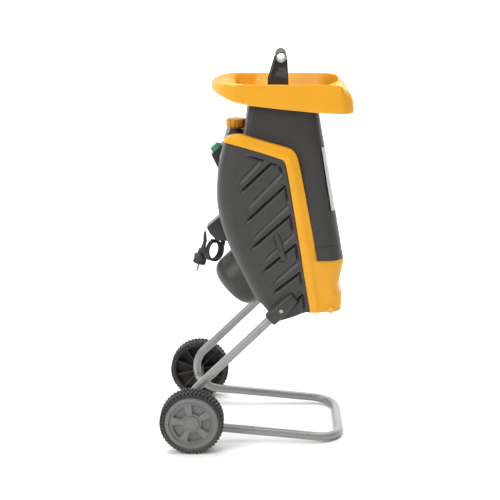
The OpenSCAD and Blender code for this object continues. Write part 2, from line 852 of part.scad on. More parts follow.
frame_tube();
axle_bolts();
axle_nuts();
leg_screws();
right_tyre();
right_wheel_disc();
right_hub_cap();
left_tyre();
left_wheel_disc();
left_hub_cap();
right_housing_shell();
left_housing_shell();
housing_screws();
motor_cover();
cutter_chamber();
motor_front_flange();
motor_casing();
motor_rear_flange();
stator_core();
stator_windings();
front_bearing();
rear_bearing();
run_capacitor();
motor_shaft();
rotor_core();
cooling_fan();
cutting_disc();
cutting_knives();
knife_screws();
disc_bolt();
switch_box();
start_button();
stop_button();
interlock_switch();
cord_inlet_box();
cord_relief();
power_cord();
cord_tie();
plug_body();
plug_pins();
hinge_pins();
tower_shell();
front_trim();
feed_chute();
counter_blade();
hopper();
hopper_screws();
handle_bar();
right_handle_bracket();
left_handle_bracket();
label_plate();
knob_washer();
locking_knob();
knob_stud();
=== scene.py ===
import json
import math

import bmesh
import bpy
import numpy as np
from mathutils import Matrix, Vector


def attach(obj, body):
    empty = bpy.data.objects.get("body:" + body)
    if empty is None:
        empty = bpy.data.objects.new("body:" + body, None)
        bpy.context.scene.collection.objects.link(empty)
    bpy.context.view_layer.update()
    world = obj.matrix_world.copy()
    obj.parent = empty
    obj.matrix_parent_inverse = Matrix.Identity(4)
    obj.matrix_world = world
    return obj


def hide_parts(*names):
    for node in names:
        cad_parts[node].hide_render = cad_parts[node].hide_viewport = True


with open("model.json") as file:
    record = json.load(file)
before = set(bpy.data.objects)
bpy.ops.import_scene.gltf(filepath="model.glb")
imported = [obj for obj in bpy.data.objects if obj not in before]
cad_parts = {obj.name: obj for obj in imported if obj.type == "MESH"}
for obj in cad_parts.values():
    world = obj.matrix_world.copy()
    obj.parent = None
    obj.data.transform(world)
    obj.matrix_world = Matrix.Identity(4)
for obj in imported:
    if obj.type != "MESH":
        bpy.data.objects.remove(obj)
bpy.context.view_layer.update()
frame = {"nodes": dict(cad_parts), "record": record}

MM = 0.001
SIDES = {"right": -1, "left": 1}    # sign of Y; right is the side nearer the camera
HALF_W = 145.0                      # half the width of the housing and of the trim
WALL = 3.0
LEG_SLOPE = math.radians(44.4)      # of the legs and of the motor's axis
MOTOR_CENTRE = (50.0, 0.0, 482.0)   # middle of the cutting disc
WHEEL_X, WHEEL_R = -158.25, 80.0
TYRE_IN_Y = 181.0                   # inner face of a tyre
MOUTH = (-8.0, 132.0, 46.0)         # the feed opening: rear, front and half width
SPLIT_SLOPE = -0.168                # X over Z of the line between housing and tower
HINGE_X, HINGE_Z = 187.0, 350.0     # axis the tower tips on
KNOB_X = -51.0
HANDLE_X, HANDLE_Z, HANDLE_HALF = 61.0, 967.0, 62.0
SWITCH_X, SWITCH_Z = -98.7, 735.4   # middle of the switch's face
SWITCH_LEAN = math.radians(43)
NICHE_R = 26.4                      # hollow in the tower that gives the knob room
PRINCIPLED = "Principled BSDF"
BOX_FACES = [[0, 1, 2, 3], [7, 6, 5, 4], [0, 1, 5, 4], [1, 2, 6, 5], [2, 3, 7, 6], [3, 0, 4, 7]]


# ---------------------------------------------------------------- materials

def linear(rgb):
    """A colour of 0 to 255 as linear light, with alpha."""
    return [(v / 255 / 12.92) if v < 10.3 else ((v / 255 + 0.055) / 1.055) ** 2.4 for v in rgb] + [1.0]


def material(name, rgb, rough, metallic=0.0, grain=900.0, bump=0.05, patch=9.0, vary=0.10, wear=0.25,
             stretch=(1, 1, 1), coat=0.0, dust=0.0):
    """Plastic, rubber or metal with a fine grain, slow colour patches, paler worn edges and uneven gloss."""
    mat = bpy.data.materials.new(name)
    mat.use_nodes = True
    tree = mat.node_tree
    shader = tree.nodes[PRINCIPLED]
    shader.inputs["Metallic"].default_value = metallic
    if coat:
        shader.inputs["Coat Weight"].default_value = coat
        shader.inputs["Coat Roughness"].default_value = 0.25
    base = linear(rgb)
    place = tree.nodes.new("ShaderNodeTexCoord")
    scale = tree.nodes.new("ShaderNodeMapping")
    scale.inputs["Scale"].default_value = stretch
    tree.links.new(place.outputs["Object"], scale.inputs["Vector"])

    def noise(size, detail):
        node = tree.nodes.new("ShaderNodeTexNoise")
        node.inputs["Scale"].default_value = size
        node.inputs["Detail"].default_value = detail
        tree.links.new(scale.outputs["Vector"], node.inputs["Vector"])
        return node.outputs["Fac"]

    def ramp(source, stops):
        node = tree.nodes.new("ShaderNodeValToRGB")
        while len(node.color_ramp.elements) < len(stops):
            node.color_ramp.elements.new(0.5)
        for element, (at, colour) in zip(node.color_ramp.elements, stops):
            element.position = at
            element.color = colour
        tree.links.new(source, node.inputs["Fac"])
        return node.outputs["Color"]

    def mix(factor, a, b):
        node = tree.nodes.new("ShaderNodeMix")
        node.data_type = "RGBA"
        tree.links.new(factor, node.inputs["Factor"])
        tree.links.new(a, node.inputs["A"])
        tree.links.new(b, node.inputs["B"])
        return node.outputs["Result"]

    def shade(k):
        return [min(1.0, c * k) for c in base[:3]] + [1.0]

    patches = ramp(noise(patch, 5.0), [(0.35, shade(1 - vary)), (0.65, shade(1 + vary))])
    specks = ramp(noise(grain * 0.35, 2.0), [(0.3, shade(1 - 0.6 * vary)), (0.7, shade(1 + 0.6 * vary))])
    speckle = ramp(noise(grain * 0.2, 3.0), [(0.45, (0, 0, 0, 1)), (0.55, (0.5, 0.5, 0.5, 1))])
    colour = mix(speckle, patches, specks)
    if wear:
        geometry = tree.nodes.new("ShaderNodeNewGeometry")
        pale = ramp(noise(patch * 2, 3.0), [(0.4, shade(1.15)), (0.7, shade(1.5))])
        edges = ramp(geometry.outputs["Pointiness"], [(0.53, (0, 0, 0, 1)), (0.62, (wear, wear, wear, 1))])
        colour = mix(edges, colour, pale)
    if dust:
        low = tree.nodes.new("ShaderNodeSeparateXYZ")
        tree.links.new(place.outputs["Object"], low.inputs["Vector"])
        near_floor = ramp(low.outputs["Z"], [(0.0, (dust, dust, dust, 1)), (0.12, (0, 0, 0, 1))])
        earth = ramp(noise(60, 4.0), [(0.4, linear((120, 112, 98))), (0.7, linear((150, 143, 130)))])
        colour = mix(near_floor, colour, earth)
    tree.links.new(colour, shader.inputs["Base Color"])
    gloss = tree.nodes.new("ShaderNodeMapRange")
    gloss.inputs["To Min"].default_value = max(0.04, rough - 0.07)
    gloss.inputs["To Max"].default_value = min(1.0, rough + 0.07)
    tree.links.new(noise(patch * 4, 4.0), gloss.inputs["Value"])
    tree.links.new(gloss.outputs["Result"], shader.inputs["Roughness"])
    relief = tree.nodes.new("ShaderNodeBump")
    relief.inputs["Strength"].default_value = bump
    relief.inputs["Distance"].default_value = 0.0006
    tree.links.new(noise(grain, 3.0), relief.inputs["Height"])
    tree.links.new(relief.outputs["Normal"], shader.inputs["Normal"])
    return mat


MATERIALS = {
    "orange_plastic": material("orange_plastic", (224, 156, 4), 0.44, grain=1400, bump=0.05, vary=0.035, wear=0.15),
    "knob_orange": material("knob_orange", (202, 138, 20), 0.42, grain=1400, bump=0.08, vary=0.06, wear=0.2),
    "charcoal_plastic": material("charcoal_plastic", (50, 49, 46), 0.45, grain=1600, bump=0.16, vary=0.05,
                                 wear=0.14),
    "black_plastic": material("black_plastic", (33, 32, 32), 0.42, grain=1500, bump=0.12, vary=0.08, wear=0.2),
    "frame_paint": material("frame_paint", (142, 142, 141), 0.3, metallic=0.3, grain=1800, bump=0.10, vary=0.04,
                            wear=0.2, dust=0.12),
    "zinc_steel": material("zinc_steel", (170, 170, 166), 0.36, metallic=0.9, grain=700, bump=0.06, vary=0.10),
    "tyre_rubber": material("tyre_rubber", (34, 33, 33), 0.62, grain=700, bump=0.25, vary=0.14, wear=0.5,
                            dust=0.22),
    "wheel_grey": material("wheel_grey", (110, 110, 109), 0.42, grain=1300, bump=0.08, vary=0.04, wear=0.2,
                           dust=0.10),
    "chamber_steel": material("chamber_steel", (96, 97, 98), 0.42, metallic=0.6, grain=700, bump=0.10, vary=0.10),
    "cast_alloy": material("cast_alloy", (172, 173, 175), 0.45, metallic=0.9, grain=500, bump=0.25, vary=0.08),
    "lamination_steel": material("lamination_steel", (120, 121, 124), 0.4, metallic=0.85, grain=600, bump=0.2,
                                 stretch=(1, 1, 8), vary=0.12),
    "copper_wire": material("copper_wire", (190, 104, 52), 0.35, metallic=0.9, grain=500, bump=0.35,
                            stretch=(1, 6, 1), vary=0.18),
    "bearing_steel": material("bearing_steel", (196, 197, 200), 0.2, metallic=1.0, grain=900, bump=0.03, vary=0.05),
    "capacitor_white": material("capacitor_white", (214, 213, 208), 0.4, grain=900, bump=0.05, vary=0.03),
    "knife_steel": material("knife_steel", (190, 194, 198), 0.24, metallic=1.0, grain=500, bump=0.08,
                            stretch=(1, 9, 1), vary=0.07),
    "green_plastic": material("green_plastic", (60, 140, 100), 0.34, grain=1300, bump=0.05, vary=0.05),
    "red_plastic": material("red_plastic", (176, 34, 28), 0.34, grain=1300, bump=0.05, vary=0.05),
    "black_rubber": material("black_rubber", (36, 36, 36), 0.55, grain=900, bump=0.12, vary=0.14, wear=0.3),
    "plated_pins": material("plated_pins", (120, 118, 114), 0.28, metallic=0.9, grain=900, bump=0.03, vary=0.06),
    "handle_alloy": material("handle_alloy", (46, 44, 44), 0.6, grain=900, bump=0.10, stretch=(8, 1, 8), vary=0.08),
    "label_grey": material("label_grey", (196, 197, 196), 0.32, grain=1600, bump=0.03, vary=0.03, wear=0.0),
}
handle_shader = MATERIALS["handle_alloy"].node_tree.nodes[PRINCIPLED]
handle_shader.inputs["Specular IOR Level"].default_value = 0.2
SLOT_OF = {row["node"]: row["material_slot"] for row in frame["record"]["subparts"]}
BODY_OF = {node: body for body, nodes in frame["record"]["behaviour"]["bodies"].items() for node in nodes}
for node, cad_object in frame["nodes"].items():
    cad_object.data.materials.clear()
    cad_object.data.materials.append(MATERIALS[SLOT_OF[node]])


# ---------------------------------------------------------------- mesh helpers

def piece(name, parts, slot, body, stands_for=(), sharp=35.0):
    """One closed-mesh piece from (points, faces) parts in millimetres, riding on a body."""
    mesh_points, mesh_faces = [], []
    for points, faces in parts:
        start = len(mesh_points)
        mesh_points += [[c * MM for c in p] for p in np.asarray(points, float)]
        mesh_faces += [[i + start for i in face] for face in faces]
    mesh = bpy.data.meshes.new(name)
    mesh.from_pydata(mesh_points, [], mesh_faces)
    work = bmesh.new()
    work.from_mesh(mesh)
    bmesh.ops.remove_doubles(work, verts=work.verts, dist=1e-6)
    bmesh.ops.dissolve_degenerate(work, edges=work.edges, dist=1e-7)
    bmesh.ops.recalc_face_normals(work, faces=work.faces)
    work.to_mesh(mesh)
    work.free()
    return finish_piece(name, mesh, slot, body, stands_for, sharp)


def finish_piece(name, mesh, slot, body, stands_for, sharp=35.0):
    """Shades a mesh, gives it its material and hangs it on its body."""
    mesh.polygons.foreach_set("use_smooth", [True] * len(mesh.polygons))
    mesh.set_sharp_from_angle(angle=math.radians(sharp))
    made = bpy.data.objects.new(name, mesh)
    bpy.context.scene.collection.objects.link(made)
    made.data.materials.append(MATERIALS[slot])
    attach(made, body)
    if stands_for:
        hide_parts(*stands_for)
    return made


def rounded(node, width=0.8, segments=2):
    """A piece with the shape of a CAD node and rounded edges."""
    work = bmesh.new()
    work.from_mesh(frame["nodes"][node].data)
    bmesh.ops.remove_doubles(work, verts=work.verts, dist=2e-6)
    bmesh.ops.dissolve_limit(work, angle_limit=math.radians(1.0), verts=work.verts, edges=work.edges)
    hard = [e for e in work.edges if len(e.link_faces) == 2 and e.calc_face_angle(0) > math.radians(28)]
    bmesh.ops.bevel(work, geom=hard, offset=width * MM, segments=segments, profile=0.6,
                    affect="EDGES", clamp_overlap=True)
    bmesh.ops.triangulate(work, faces=[f for f in work.faces if len(f.verts) > 4])
    mesh = bpy.data.meshes.new(node + "_finish")
    work.to_mesh(mesh)
    work.free()
    return finish_piece(node + "_finish", mesh, SLOT_OF[node], BODY_OF[node], [node])


def grid_faces(rows, cols, wrap_cols=False, wrap_rows=False, start=0, flip=False):
    """Four-sided faces over a grid of points, row after row from the point numbered start."""
    faces = []
    for i in range(rows if wrap_rows else rows - 1):
        for j in range(cols if wrap_cols else cols - 1):
            a, b = i * cols + j, i * cols + (j + 1) % cols
            c, d = (i + 1) % rows * cols + (j + 1) % cols, (i + 1) % rows * cols + j
            face = [start + a, start + b, start + c, start + d]
            faces.append(face[::-1] if flip else face)
    return faces


def tube_like(rings, cap=True):
    """A closed form through rings of equal length; both ends are closed with a fan, or it wraps round."""
    rings = np.asarray(rings, float)
    rows, cols = rings.shape[:2]
    points = rings.reshape(-1, 3).tolist()
    faces = grid_faces(rows, cols, wrap_cols=True, wrap_rows=not cap)
    if cap:
        for row in (0, rows - 1):
            centre = len(points)
            points.append(rings[row].mean(0).tolist())
            faces += [[centre, row * cols + j, row * cols + (j + 1) % cols] for j in range(cols)]
    return points, faces


def shell(surface, thickness, inside, wrap_cols=False):
    """A wall of that thickness behind a grid of outer points; inside is a point behind it."""
    surface = np.asarray(surface, float)
    rows, cols = surface.shape[:2]
    if wrap_cols:
        across = np.roll(surface, -1, 1) - np.roll(surface, 1, 1)
    else:
        across = np.gradient(surface, axis=1)
    along = np.gradient(surface, axis=0)
    normal = np.cross(across, along)
    normal /= np.maximum(np.linalg.norm(normal, axis=2, keepdims=True), 1e-9)
    if ((surface - np.asarray(inside, float)) * normal).sum() < 0:
        normal = -normal
    points = np.concatenate([surface.reshape(-1, 3), (surface - thickness * normal).reshape(-1, 3)])
    n = rows * cols
    faces = grid_faces(rows, cols, wrap_cols) + grid_faces(rows, cols, wrap_cols, start=n, flip=True)
    border = [[i * cols + j for j in range(cols)] for i in (0, rows - 1)]
    if not wrap_cols:
        border += [[i * cols + j for i in range(rows)] for j in (0, cols - 1)]
    for line in border:
        pairs = list(zip(line, line[1:])) + ([(line[-1], line[0])] if wrap_cols else [])
        faces += [[a, b, b + n, a + n] for a, b in pairs]
    return points, faces


def revolve(profile, steps, place, closed=True):
    """A profile of (radius, height) turned about local Z; place takes local X, Y, Z to the frame."""
    rings = []
    for k in range(steps):
        a = 2 * math.pi * k / steps
        rings.append([place(r * math.cos(a), r * math.sin(a), z) for r, z in profile])
    rings = np.asarray(rings, float)
    return rings.reshape(-1, 3), grid_faces(steps, len(profile), wrap_cols=closed, wrap_rows=True)


def prism(outline, y0, y1):
    """A closed prism along Y of an outline in X and Z."""
    n = len(outline)
    points = [(x, y0, z) for x, z in outline] + [(x, y1, z) for x, z in outline]
    faces = [list(range(n)), list(range(n, 2 * n))[::-1]]
    faces += [[i, (i + 1) % n, n + (i + 1) % n, n + i] for i in range(n)]
    return points, faces


def smooth(points, passes=2, closed=False):
    """Cuts the corners of a line, a little more at each pass."""
    line = np.asarray(points, float)
    for _ in range(passes):
        after = np.roll(line, -1, 0) if closed else line[1:]
        before = line if closed else line[:-1]
        cut = np.stack([0.75 * before + 0.25 * after, 0.25 * before + 0.75 * after], 1)
        cut = cut.reshape(-1, line.shape[1])
        line = cut if closed else np.concatenate([line[:1], cut, line[-1:]])
    return line


def evenly(line, count, closed=False):
    """Points at equal distances along a line."""
    line = np.asarray(line, float)
    if closed:
        line = np.concatenate([line, line[:1]])
    run = np.concatenate([[0], np.cumsum(np.linalg.norm(np.diff(line, axis=0), axis=1))])
    at = np.linspace(0, run[-1], count, endpoint=not closed)
    return np.stack([np.interp(at, run, line[:, k]) for k in range(line.shape[1])], 1)


def step(value, low, high):
    """0 below low, 1 above high, and a soft rise between."""
    t = np.clip((np.asarray(value, float) - low) / (high - low), 0, 1)
    return t * t * (3 - 2 * t)


def carve(made, cutters):
    """Takes closed (points, faces) cutters out of a piece's mesh."""
    for points, faces in cutters:
        mesh = bpy.data.meshes.new("cutter")
        mesh.from_pydata([[c * MM for c in p] for p in points], [], faces)
        work = bmesh.new()
        work.from_mesh(mesh)
        bmesh.ops.recalc_face_normals(work, faces=work.faces)
        work.to_mesh(mesh)
        work.free()
        tool = bpy.data.objects.new("cutter", mesh)
        bpy.context.scene.collection.objects.link(tool)
        cut = made.modifiers.new("cut", "BOOLEAN")
        cut.operation = "DIFFERENCE"
        cut.solver = "EXACT"
        cut.object = tool
        bpy.context.view_layer.update()
        result = bpy.data.meshes.new_from_object(made.evaluated_get(bpy.context.evaluated_depsgraph_get()))
        made.modifiers.clear()
        made.data = result
        bpy.data.objects.remove(tool)
    made.data.set_sharp_from_angle(angle=math.radians(35))
    return made


def motor_place(x, y, z):
    """Local Z runs up the motor axis from the middle of the cutting disc."""
    c, s = math.cos(LEG_SLOPE), math.sin(LEG_SLOPE)
    return (MOTOR_CENTRE[0] + s * x + c * z, y, MOTOR_CENTRE[2] - c * x + s * z)


# ---------------------------------------------------------------- camera

camera_data = bpy.data.cameras.new("camera")
camera_data.sensor_width = 36
camera_data.lens = 94.16
camera_data.clip_end = 200
camera = bpy.data.objects.new("camera", camera_data)
bpy.context.scene.collection.objects.link(camera)
camera.location = (0.02593, -3.27219, 1.26911)
YAW, PITCH = -0.0127, 0.2398
look = Vector((math.sin(YAW) * math.cos(PITCH), math.cos(YAW) * math.cos(PITCH), -math.sin(PITCH)))
camera.rotation_euler = look.to_track_quat("-Z", "Y").to_euler()
bpy.context.scene.camera = camera


# ---------------------------------------------------------------- lead

CORD_D = 6.0
TURN_R, TURN_PITCH, TURN_STEPS, TURN_COUNT = 25.0, 7.0, 16, 2.5
TURN_Z = 469.0
TURN_DIR = math.radians(48)         # the way the turns face, seen from above
RELIEF = (-85.4, 8.0)
RELIEF_Z = 478.0                    # lower end of the sleeve, where the lead comes out
PLUG_TOP = (-131.3, 30.0, 490.0)
PLUG_LEAN = math.radians(15.5)
LEAD_IN = [(*RELIEF, RELIEF_Z), (*RELIEF, 473.5)]
LEAD_OUT = [
    (-132, -17.8, 478), (-132, -18, 490), (-132, -14.8, 502), (-132, -6, 510.8), (-131.8, 6, 514),
    (-131.6, 18, 510.8), (-131.4, 26.8, 502), PLUG_TOP,
]


def turn_point(angle):
    """A point on the hanging turns, after that angle from the start."""
    c, s = math.cos(TURN_DIR), math.sin(TURN_DIR)
    shift = TURN_PITCH * angle / (2 * math.pi)
    return (
        RELIEF[0] - TURN_R * c + TURN_R * math.cos(angle) * c - shift * s,
        RELIEF[1] - TURN_R * s + TURN_R * math.cos(angle) * s + shift * c,
        TURN_Z - TURN_R * math.sin(angle),
    )


def cord_route():
    """The lead's points from the sleeve to the plug."""
    turns = [turn_point(2 * math.pi * i / TURN_STEPS) for i in range(int(TURN_COUNT * TURN_STEPS) + 1)]
    return LEAD_IN + turns + LEAD_OUT


def make_cord():
    curve = bpy.data.curves.new("power_cord_finish", "CURVE")
    curve.dimensions = "3D"
    curve.bevel_depth = CORD_D / 2 * MM
    curve.bevel_resolution = 5
    curve.resolution_u = 4
    curve.use_fill_caps = True
    spline = curve.splines.new("BEZIER")
    route = cord_route()
    spline.bezier_points.add(len(route) - 1)
    for at, point in zip(spline.bezier_points, route):
        at.co = [c * MM for c in point]
        at.handle_left_type = at.handle_right_type = "AUTO"
    cord = bpy.data.objects.new("power_cord_finish", curve)
    bpy.context.scene.collection.objects.link(cord)
    curve.materials.append(MATERIALS["black_rubber"])
    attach(cord, "root")
    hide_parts("power_cord")
    return cord


def plug_place(x, y, z):
    """Local Z runs down the plug from the end of the lead."""
    c, s = math.cos(PLUG_LEAN), math.sin(PLUG_LEAN)
    return (PLUG_TOP[0] - s * z - c * x, PLUG_TOP[1] + y, PLUG_TOP[2] - c * z + s * x)


def make_plug():
    """The plug's body, with a ribbed sleeve over the end of the lead."""
    grip = [(0, 0), (3.9, 0)]
    for k in range(4):
        z = 3 + 5.4 * k
        r = 4.5 + 0.5 * k
        grip += [(r - 0.2, z), (r + 0.5, z + 0.6), (r + 0.6, z + 2.8), (r - 0.6, z + 3.4),
                 (r - 0.6, z + 4.8)]
    body = grip + [
        (7.2, 25.4), (9.6, 26.4), (10.6, 28.5), (11, 34), (11.4, 37.6), (10.2, 38.6), (10.2, 39.6),
        (13, 40.6), (17.6, 43.4), (18.4, 45), (18.5, 48), (17.4, 49.6), (16.6, 52), (16.9, 60), (17.4, 63),
        (17.1, 65.2), (16, 66), (0, 66),
    ]
    turned = revolve(smooth(body, 1), 48, plug_place, closed=False)
    return piece("plug_body_finish", [turned], "black_rubber", "root", ["plug_body"], sharp=50)


def relief_place(x, y, z):
    return (RELIEF[0] + x, RELIEF[1] + y, RELIEF_Z + z)


def make_relief():
    """The ribbed sleeve the lead comes out of."""
    profile = [(0, 0), (4.1, 0), (4.5, 0.6)]
    for k in range(5):
        profile += [(4.4 + 0.6 * k, 1.6 + 3.6 * k), (5.0 + 0.6 * k, 2.1 + 3.6 * k),
                    (5.1 + 0.6 * k, 4.0 + 3.6 * k), (4.5 + 0.6 * k, 4.4 + 3.6 * k)]
    profile += [(7.5, 19.2), (7.5, 20), (0, 20)]
    turned = revolve(profile, 40, relief_place, closed=False)
    return piece("cord_relief_finish", [turned], "black_rubber", "root", ["cord_relief"], sharp=50)


cord_piece = make_cord()
plug_piece = make_plug()
tie_piece = rounded("cord_tie", 0.5)
pins_piece = rounded("plug_pins", 0.6, 2)
make_relief()


# ---------------------------------------------------------------- housing

REAR_EDGE = [(44, 322), (16, 356), (-2, 372), (-32, 429), (-62, 493), (-77, 532), (-92, 583), (-98, 633),
             (-93, 708), (-78, 771)]
FRONT_EDGE = [(62, 323), (97, 334), (125, 346), (134.6, 343.6), (135.5, 343.6), (135.3, 345), (104, 530),
              (73, 714), (66, 729)]
# Grooves of the side panel, each from its upper front end to its lower rear end; ENDS join the upper ends
SHARP = [((37, 719), (-40, 645)), ((71, 663), (-30, 568)), ((84, 590), (-17, 501)), ((98, 517), (15, 445)),
         ((109, 445), (42, 392)), ((116, 388), (59, 328))]
SOFT = [((7, 723), (-51, 659)), ((61, 694), (-38, 590)), ((78, 615), (-29, 510)), ((92, 545), (1, 456)),
        ((101, 471), (32, 407))]
ENDS = [((37, 720), (58, 713)), ((58, 713), (66, 690)), ((72, 662), (79, 618)), ((85, 590), (92, 545)),
        ((99, 516), (105, 470)), ((110, 444), (114, 415)), ((117, 387), (123, 346))]
TOP_LINE = ((18, 727), (-28, 740))
PILLAR = ((53, 537), (69, 482))
SHELF_FALL = 0.2917                 # how the shelf under the knob drops toward the front


def to_segment(x, z, ends):
    """Distance to a segment, and how far along it the nearest point lies."""
    (x0, z0), (x1, z1) = ends
    t = np.clip(((x - x0) * (x1 - x0) + (z - z0) * (z1 - z0)) / ((x1 - x0) ** 2 + (z1 - z0) ** 2), 0, 1)
    return np.hypot(x - x0 - t * (x1 - x0), z - z0 - t * (z1 - z0)), t


def pocket_depth(x, z):
    """How far the side panel lies behind its flat flange."""
    depth = np.zeros_like(x)
    for ends, width, deepest, taper in (
            [(e, 3.0, 9.0, 0.78) for e in SHARP] + [(e, 4.6, 5.0, 0.6) for e in SOFT]
            + [(e, 2.4, 5.5, 0.6) for e in ENDS] + [(TOP_LINE, 2.4, 6.0, 0.4)]):
        off, t = to_segment(x, z, ends)
        depth = np.maximum(depth, deepest * np.exp(-(off / width) ** 2) * (1 - step(t, taper, 1.0)))
    for (x0, z0), (x1, z1) in SHARP[1:]:
        run = math.hypot(x1 - x0, z1 - z0)
        above = ((x - x0) * (z1 - z0) - (z - z0) * (x1 - x0)) / run
        along = ((x - x0) * (x1 - x0) + (z - z0) * (z1 - z0)) / run ** 2
        across = step(above, -1, 1) * (1 - step(above, 13, 18))
        depth = np.maximum(depth, 2.6 * across * step(along, -0.06, 0) * (1 - step(along, 0.4, 0.95)))
    off, _ = to_segment(x, z, PILLAR)
    depth = np.maximum(depth * step(off, 6.0, 7.6), 2.6 * np.exp(-((off - 7.6) / 1.6) ** 2))
    return depth * (1 - step(x - (106 + SPLIT_SLOPE * (z - 530)), -4, 0))


def housing_half(side):
    """One shell of the housing: the back, the round corner, the grooved side and the flange at the split."""
    rows, side_cols = 280, 96
    rear = evenly(smooth(REAR_EDGE, 3), rows)
    front = evenly(smooth(FRONT_EDGE, 1), rows)
    wrap_y = np.array([0.15, 25, 50, 75, 95, 104, 111, 117, 122, 127, 131, 134.5, 137.5, 140, 142, 143.4,
                       144.4, 144.9])
    corner_in = 36
    wrap_in = np.interp(wrap_y, [0, 100, 112, 122, 130, 136, 141, 143.5, HALF_W],
                        [0, 0, 1.6, 5, 9.6, 15, 22, 27.5, corner_in])
    columns = []
    width = front[:, 0] - rear[:, 0]
    drop = front[:, 1] - rear[:, 1]
    narrow = np.clip(width / 100, 0.15, 1)
    for y, inset in zip(wrap_y, wrap_in):
        t = inset * narrow / np.maximum(width, 1)
        columns.append(np.stack([rear[:, 0] + t * width, np.full(rows, y), rear[:, 1] + t * drop], 1))
    start = corner_in * narrow / width
    for k in range(side_cols):
        t = start + (1 - start) * k / (side_cols - 1)
        x = rear[:, 0] + t * width
        z = rear[:, 1] + t * drop
        columns.append(np.stack([x, HALF_W - pocket_depth(x, z), z], 1))
    low = 1 - step(np.linspace(0, 1, rows), 0.17, 0.21)
    for inward in (0.6, 2.0, 6.0):
        columns.append(np.stack([front[:, 0], np.full(rows, HALF_W - inward), front[:, 1]], 1))
    for share in (0.25, 0.5, 0.75, 1.0):
        depth = 6 + low * (HALF_W - 6.2) * share + (1 - low) * 22 * share
        columns.append(np.stack([front[:, 0], HALF_W - depth, front[:, 1]], 1))
    surface = np.stack(columns, 1)
    surface[:, :, 1] *= side
    return shell(surface, WALL, (30, 0, 540))


def platform(side):
    """The top of the shell under the knob, with the notch for the stud."""
    parts = []
    for x0, x1, y0 in ((-77, -57, 0.2), (-57, -28, 6.2)):
        xs = np.linspace(x0, x1, 8)
        wide = HALF_W - 3 - 34 * np.clip(1 - (xs + 77) / 34, 0, 1) ** 2
        rows = [[(x, side * (y0 + (w - y0) * t), 771 - (x + 78) * SHELF_FALL - 0.6)
                 for t in np.linspace(0, 1, 12)] for x, w in zip(xs, wide)]
        parts.append(shell(rows, WALL, (0, 0, 500)))
    return parts


def leg_socket(side):
    """The block that takes the top of a leg, with its bore."""
    c, s = math.cos(LEG_SLOPE), math.sin(LEG_SLOPE)
    foot = (-143.6, 150.0)
    half, bore, around = 17, 11.2, 48
    rings = []
    for at, out in ((251.4, 0.88), (252.6, 0.98), (256, 1), (300, 1), (320, 0.9), (333, 0.76), (336, 0.7)):
        ring = []
        for k in range(around):
            a = 2 * math.pi * k / around
            r = half * out / (abs(math.cos(a)) ** 5 + abs(math.sin(a)) ** 5) ** 0.2
            u, v = r * math.cos(a), r * math.sin(a)
            ring.append((foot[0] + at * c - u * s, side * (HALF_W + v), foot[1] + at * s + u * c))
        rings.append(ring)
    for at in (331.9, 251.4):
        turns = [2 * math.pi * k / around for k in range(around)]
        rings.append([(foot[0] + at * c - bore * math.cos(a) * s, side * (HALF_W + bore * math.sin(a)),
                       foot[1] + at * s + bore * math.cos(a) * c) for a in turns])
    return tube_like(rings, cap=False)


def button_window(side):
    """The opening in the housing behind a button."""
    c, s = math.cos(SWITCH_LEAN), math.sin(SWITCH_LEAN)
    corners = ((-12.4, -13), (12.4, -13), (12.4, 10), (-12.4, 10))
    outline = [(SWITCH_X + c * u - s * w, SWITCH_Z + s * u + c * w) for u, w in corners]
    return prism(outline, *sorted((side * 1.9, side * 25.1)))


def hinge_arm(side):
    """The arm that carries the housing's part of a hinge, with its boss."""
    inner_y, thick = 122, 8
    low = min(side * inner_y, side * (inner_y + thick))
    boss = revolve([(3.1, 0), (3.1, thick), (6.6, thick), (7, 7.6), (7, 0.4), (6.6, 0)], 40,
                   lambda x, y, z: (HINGE_X + x, side * (inner_y + z), HINGE_Z + y))
    outline = [(95, 347), (120, 343), (181, 343.6), (181, 356.4), (120, 357), (95, 361)]
    return [prism(outline, low, low + thick), boss]


def make_motor_cover():
    """The rounded cover over the motor, with slots in its end."""
    profile = [(0, -164), (20, -164), (36, -163.9)]
    for degrees in range(6, 91, 7):
        a = math.radians(degrees)
        profile.append((37.5 + 34 * math.sin(a), -130 - 34 * math.cos(a)))
    profile += [(71.5, -124), (71.7, -100), (71.8, -70), (72, -44), (69, -44), (68.5, -130), (60, -148),
                (40, -161), (0, -161)]
    cover = piece("motor_cover_finish", [revolve(profile, 96, motor_place, closed=False)],
                  "charcoal_plastic", "root", ["motor_cover"], sharp=40)
    vents = []
    for i in range(-3, 4):
        corners = [(8 * i - 2, -24), (8 * i + 2, -24), (8 * i + 2, 24), (8 * i - 2, 24)]
        vents.append(([motor_place(x, y, z) for z in (-170, -158) for x, y in corners], BOX_FACES))
    return carve(cover, vents)


for side_name, side in SIDES.items():
    shell_node = side_name + "_housing_shell"
    skin = piece(side_name + "_housing_finish", [housing_half(side)], "charcoal_plastic", "root",
                 [shell_node], sharp=40)
    carve(skin, [button_window(side)])
    piece(side_name + "_housing_fittings", [leg_socket(side)] + platform(side) + hinge_arm(side),
          "charcoal_plastic", "root", [shell_node], sharp=40)
make_motor_cover()


# ---------------------------------------------------------------- tower

# Height, rear, front, half width, rear and front corner radius, from the foot up
TOWER = np.array([(476, 60, 219, 143, 14, 38), (765, -33, 167.5, 122, 14, 28), (862, -20, 150.5, 112, 14, 26)])
STRIPE_TOP = [(-79, 771), (-72, 783), (-56, 789), (-31, 789), (-14, 782), (70, 759), (88, 753), (99, 741),
              (107, 716), (143, 529), (152.5, 476)]
SPLIT = [(-79, 771.8), (66.5, 729.8), (74, 714.5), (104.8, 530), (136.2, 343.5)]
SUNK = 0.1                          # how far the plate lies below the tower's face


def tower_at(z):
    """Rear, front, half width, rear and front corner radius at a height."""
    return [np.interp(z, TOWER[:, 0], TOWER[:, k]) for k in range(1, 6)]


